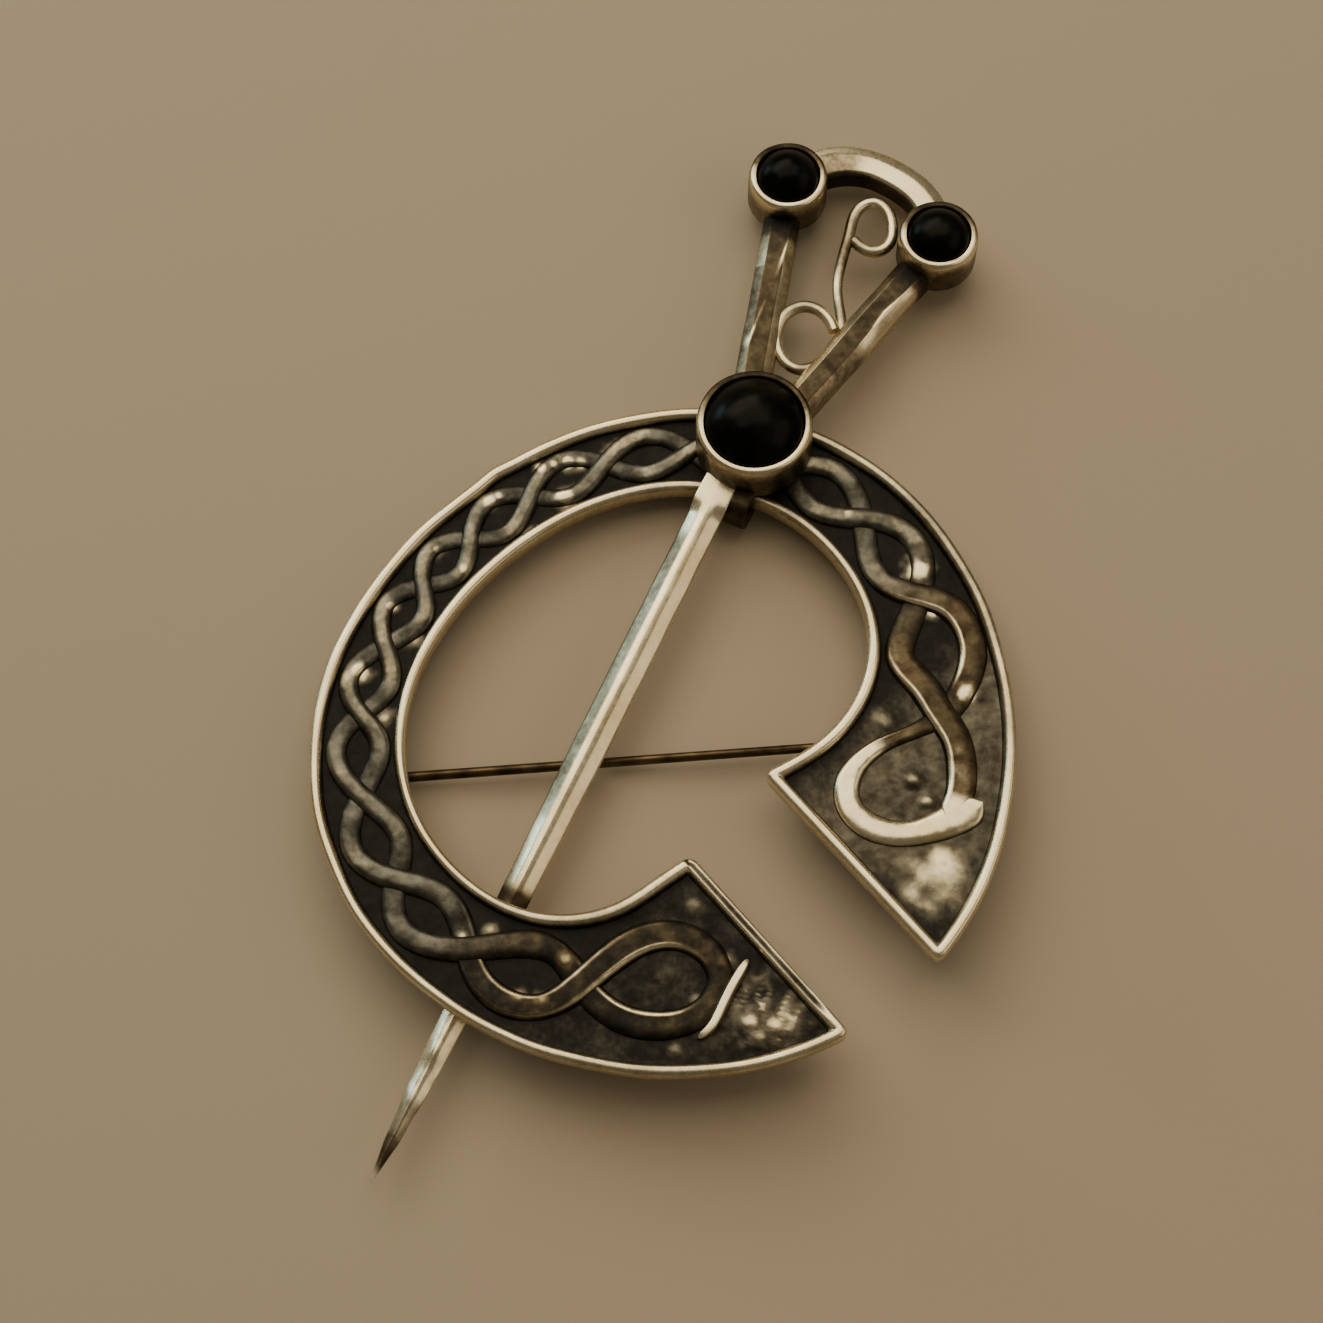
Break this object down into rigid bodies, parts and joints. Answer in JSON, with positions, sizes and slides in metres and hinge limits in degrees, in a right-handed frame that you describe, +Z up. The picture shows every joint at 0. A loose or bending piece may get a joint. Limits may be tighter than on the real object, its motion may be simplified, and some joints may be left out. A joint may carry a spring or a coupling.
{
  "type": "penannular brooch",
  "caption": "Penannular silver brooch lying flat: a broken ring with cast interlace, a long dress pin with a stone-set openwork head, and a hinged fastening stem behind.",
  "frame": {"origin": "bottom centre of the bounding box, on the surface that the brooch lies on", "axes": "+Z up from the surface, +Y from the pin's point towards its head, +X along the fastening stem from hinge to point"},
  "size_m": [0.051, 0.0746, 0.0086],
  "materials": {
    "silver": "cast silver, worn bright on the ridges and blackened in the sunk ground",
    "stone": "polished black cabochon",
    "wire": "tarnished wire"
  },
  "bodies": {
    "brooch": {"ring": "silver", "dress_pin": "silver", "stone_large": "stone", "stone_small_left": "stone", "stone_small_right": "stone", "hinge_rivet": "wire"},
    "fastening": {"stem": "wire"}
  },
  "joints": [
    {"name": "stem_hinge", "type": "hinge", "parent": "brooch", "child": "fastening", "pos_m": [-0.02203, -0.00893, 0.00124], "axis": [0, 0.997, -0.0776], "range_deg": [0, 100]}
  ]
}
